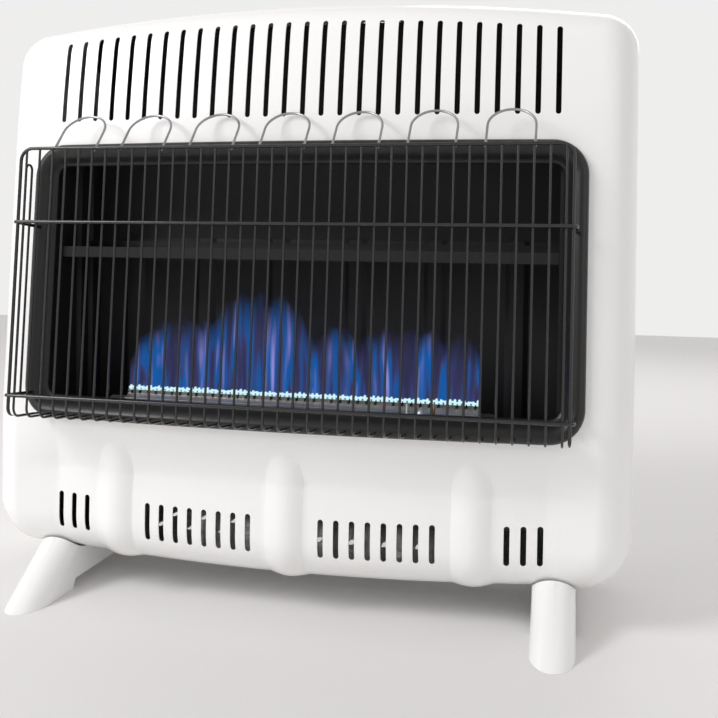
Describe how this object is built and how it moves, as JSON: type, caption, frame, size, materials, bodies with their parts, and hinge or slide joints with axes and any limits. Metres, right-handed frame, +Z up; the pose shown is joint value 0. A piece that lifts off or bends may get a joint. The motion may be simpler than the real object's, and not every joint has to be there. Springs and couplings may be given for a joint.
{
  "type": "vent-free gas heater",
  "caption": "Free-standing or wall-hung blue flame gas room heater: bowed enamelled front with slots, a black bezel and wire guard, a burner in a firebox, a sunk control tray and feet.",
  "frame": {"origin": "on the floor, in the middle of the width and of the depth", "axes": "+X to the right along the width, +Y towards the wall, +Z up; the guard and the window face -Y"},
  "size_m": [0.7684, 0.3174, 0.7112],
  "materials": {
    "white_enamel": "glossy white powder enamel on drawn sheet steel",
    "black_enamel": "semi-matt black heat-proof enamel",
    "black_wire": "satin black coated wire",
    "bright_wire": "bright zinc-plated wire",
    "zinc_sheet": "galvanised sheet with a dull sheen",
    "burner_steel": "aluminised steel, heat stained",
    "cast_aluminium": "die-cast aluminium",
    "brass_parts": "turned brass",
    "plated_steel": "zinc-plated steel",
    "aluminium_tube": "drawn aluminium tube",
    "copper_line": "copper line",
    "white_ceramic": "glazed ceramic insulator",
    "black_plastic": "moulded heat-proof plastic",
    "white_sleeve": "silicone-sleeved lead"
  },
  "bodies": {
    "root": {"front_panel": "white_enamel", "bezel": "black_enamel", "guard_wires": "black_wire", "guard_frame": "black_wire", "guard_rods": "black_wire", "guard_loops": "bright_wire", "guard_side_wires": "black_wire", "cabinet_shell": "white_enamel", "back_panel": "white_enamel", "bottom_pan": "zinc_sheet", "control_tray": "black_enamel", "partition_left": "black_enamel", "partition_right": "black_enamel", "firebox_floor": "black_enamel", "firebox_back": "black_enamel", "firebox_hood": "black_enamel", "upper_baffle": "black_enamel", "burner_tube": "burner_steel", "port_strip": "burner_steel", "burner_brackets": "zinc_sheet", "injector_holder": "cast_aluminium", "injector": "brass_parts", "pilot_bracket": "zinc_sheet", "pilot_burner": "burner_steel", "thermocouple": "copper_line", "spark_electrode": "white_ceramic", "gas_valve": "cast_aluminium", "valve_bonnet": "brass_parts", "bonnet_nut": "plated_steel", "knob_spring": "plated_steel", "valve_bracket": "zinc_sheet", "ignitor_body": "black_plastic", "ignitor_nut": "black_plastic", "ignitor_spring": "plated_steel", "ignitor_lead": "white_sleeve", "regulator": "cast_aluminium", "regulator_bracket": "zinc_sheet", "supply_tube": "aluminium_tube", "burner_feed": "aluminium_tube", "pilot_tube": "aluminium_tube", "tube_nuts": "brass_parts", "thermostat_bulb": "copper_line", "bulb_clips": "zinc_sheet", "foot_left": "white_enamel", "foot_right": "white_enamel", "foot_screws": "zinc_sheet", "panel_screws": "white_enamel", "back_screws": "white_enamel", "tray_screws": "white_enamel", "heat_shield": "zinc_sheet"},
    "drive_bush": {"drive_bush": "brass_parts"},
    "knob": {"control_knob": "black_plastic", "knob_spindle": "plated_steel"},
    "button": {"ignitor_button": "plated_steel"}
  },
  "joints": [
    {"name": "knob_turn", "type": "hinge", "parent": "root", "child": "drive_bush", "pos_m": [0.2332, 0.0912, 0.665], "axis": [0, 0, 1], "range_deg": [0, 270]},
    {"name": "knob_press", "type": "slide", "parent": "drive_bush", "child": "knob", "axis": [0, 0, -1], "range_m": [0, 0.005], "stiffness_N_per_m": 900, "deforming": ["knob_spring"]},
    {"name": "ignitor_press", "type": "slide", "parent": "root", "child": "button", "axis": [0, 0, -1], "range_m": [0, 0.006], "stiffness_N_per_m": 900, "deforming": ["ignitor_spring"]}
  ]
}
